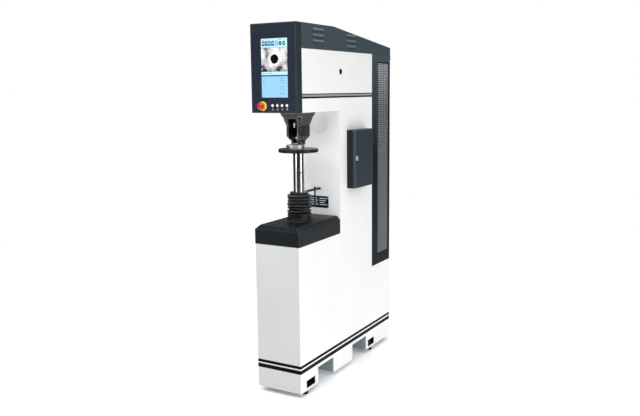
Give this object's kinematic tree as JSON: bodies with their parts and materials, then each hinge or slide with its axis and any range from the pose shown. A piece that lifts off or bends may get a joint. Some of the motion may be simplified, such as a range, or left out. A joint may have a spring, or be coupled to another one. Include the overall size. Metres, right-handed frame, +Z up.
{
  "type": "hardness tester",
  "caption": "Floor-standing optical Brinell hardness tester: C-frame, motor-driven elevating screw and table, indenter head with swinging objective, touchscreen and controls.",
  "frame": {"origin": "on the floor, under the middle of the whole machine; the common axis of indenter and elevating screw stands at x = -0.024 m, y = -0.296 m", "axes": "+Z up, +Y from the operator to the rear, +X towards the side that carries the junction box"},
  "size_m": [0.3101, 1.078, 1.808],
  "materials": {
    "white_panel": "warm white powder coat, slightly textured",
    "grey_panel": "light grey powder coat",
    "dark_cover": "blue-grey powder coat",
    "black_cover": "near-black satin powder coat",
    "fascia": "dark navy glossy fascia",
    "screen": "lit touch panel",
    "cast_black": "black painted casting",
    "frame_steel": "grey-green primer on welded steel",
    "chrome": "ground and chromed steel",
    "steel": "turned steel",
    "black_steel": "blackened steel",
    "bronze": "bronze",
    "rubber": "black rubber",
    "belt": "toothed belt rubber",
    "motor": "anodised motor housing",
    "objective": "satin silver objective",
    "red": "red mushroom head",
    "yellow": "yellow collar",
    "white_button": "white button cap",
    "grey_plastic": "grey engineering plastic",
    "zinc": "zinc plated steel"
  },
  "bodies": {
    "machine": {"plinth": "frame_steel", "levelling_feet": "black_steel", "load_frame": "frame_steel", "side_panel_right": "white_panel", "side_panel_left": "white_panel", "base_front_panel": "white_panel", "base_rear_panel": "white_panel", "cable_gland": "grey_plastic", "throat_panel": "grey_panel", "column_cover_disc": "grey_panel", "base_top_cover": "black_cover", "top_cover": "dark_cover", "rear_cover": "dark_cover", "vent_grille": "dark_cover", "head_housing": "cast_black", "head_flange_bolts": "zinc", "turret_motor": "motor", "load_motor": "motor", "load_belt": "belt", "nut_housing": "cast_black", "shaft_bearings": "steel", "lift_motor": "motor", "lift_belt": "belt", "limit_switch": "grey_plastic", "control_unit": "zinc", "display_housing": "dark_cover", "front_fascia": "fascia", "touchscreen": "screen", "estop_collar": "yellow", "switch_blocks": "grey_plastic", "button_bezels": "black_steel", "junction_box": "dark_cover", "hinge_pins": "zinc", "terminal_strip": "grey_plastic", "bellows": "rubber"},
    "lift_nut": {"lift_nut": "bronze"},
    "elevator": {"elevating_screw": "chrome", "testing_table": "black_steel", "test_block": "steel", "guide_arm": "black_steel", "striker_rod": "black_steel"},
    "lift_motor_shaft": {"lift_motor_pulley": "steel"},
    "ball_nut": {"ball_nut": "steel"},
    "load_motor_shaft": {"load_motor_pulley": "steel"},
    "load_train": {"load_ram": "chrome", "load_cell": "steel", "ball_screw": "steel"},
    "turret": {"turret": "black_steel", "objective": "objective", "indenter_spring": "steel"},
    "indenter": {"indenter_holder": "chrome", "indenter_ball": "chrome"},
    "estop_stem": {"estop_stem": "grey_plastic"},
    "estop_head": {"estop_head": "red"},
    "push_button_1": {"push_button_1": "white_button"},
    "push_button_2": {"push_button_2": "white_button"},
    "push_button_3": {"push_button_3": "white_button"},
    "push_button_4": {"push_button_4": "white_button"},
    "box_door": {"box_door": "dark_cover"},
    "door_lock": {"door_lock": "chrome"}
  },
  "joints": [
    {"name": "lift_nut_turn", "type": "hinge", "parent": "machine", "child": "lift_nut", "pos_m": [-0.024, -0.296, 0.64], "axis": [0, 0, 1], "range_deg": [-168, 6000]},
    {"name": "table_lift", "type": "slide", "parent": "machine", "child": "elevator", "axis": [0, 0, 1], "range_m": [-0.1, 0.0028], "deforming": ["bellows"]},
    {"name": "lift_motor_turn", "type": "hinge", "parent": "machine", "child": "lift_motor_shaft", "pos_m": [-0.024, -0.146, 0.6], "axis": [0, 0, 1], "range_deg": [-504, 18000]},
    {"name": "load_nut_turn", "type": "hinge", "parent": "machine", "child": "ball_nut", "pos_m": [-0.024, -0.296, 1.6], "axis": [0, 0, 1], "range_deg": [0, 345.6]},
    {"name": "ram_travel", "type": "slide", "parent": "machine", "child": "load_train", "axis": [0, 0, 1], "range_m": [-0.0048, 0]},
    {"name": "load_motor_turn", "type": "hinge", "parent": "machine", "child": "load_motor_shaft", "pos_m": [-0.024, -0.146, 1.6], "axis": [0, 0, 1], "range_deg": [0, 691.2]},
    {"name": "turret_swing", "type": "hinge", "parent": "machine", "child": "turret", "pos_m": [-0.035, -0.266, 1.35], "axis": [0, 0, 1], "range_deg": [0, 40.27]},
    {"name": "indenter_travel", "type": "slide", "parent": "turret", "child": "indenter", "axis": [0, 0, 1], "range_m": [-0.0048, 0], "deforming": ["indenter_spring"]},
    {"name": "estop_press", "type": "slide", "parent": "machine", "child": "estop_stem", "axis": [0, 1, 0], "range_m": [0, 0.004], "stiffness_N_per_m": 400},
    {"name": "estop_release_turn", "type": "hinge", "parent": "estop_stem", "child": "estop_head", "pos_m": [-0.088, -0.531, 1.426], "axis": [0, -1, 0], "range_deg": [-30, 0], "stiffness_Nm_per_rad": 0.02},
    {"name": "button_1_press", "type": "slide", "parent": "machine", "child": "push_button_1", "axis": [0, 1, 0], "range_m": [0, 0.0015], "stiffness_N_per_m": 300},
    {"name": "button_2_press", "type": "slide", "parent": "machine", "child": "push_button_2", "axis": [0, 1, 0], "range_m": [0, 0.0015], "stiffness_N_per_m": 300},
    {"name": "button_3_press", "type": "slide", "parent": "machine", "child": "push_button_3", "axis": [0, 1, 0], "range_m": [0, 0.0015], "stiffness_N_per_m": 300},
    {"name": "button_4_press", "type": "slide", "parent": "machine", "child": "push_button_4", "axis": [0, 1, 0], "range_m": [0, 0.0015], "stiffness_N_per_m": 300},
    {"name": "box_door_swing", "type": "hinge", "parent": "machine", "child": "box_door", "pos_m": [0.14, 0.1943, 1.14], "axis": [0, 0, 1], "range_deg": [0, 110]},
    {"name": "door_lock_turn", "type": "hinge", "parent": "box_door", "child": "door_lock", "pos_m": [0.152, 0, 1.145], "axis": [1, 0, 0], "range_deg": [-90, 0]}
  ],
  "couplings": [
    {"joint": "table_lift", "follows": "lift_nut_turn", "m_per_rad": -0.00095493},
    {"joint": "lift_motor_turn", "follows": "lift_nut_turn", "ratio": 3},
    {"joint": "ram_travel", "follows": "load_nut_turn", "m_per_rad": -0.00079577},
    {"joint": "indenter_travel", "follows": "load_nut_turn", "m_per_rad": -0.00079577},
    {"joint": "load_motor_turn", "follows": "load_nut_turn", "ratio": 2}
  ]
}
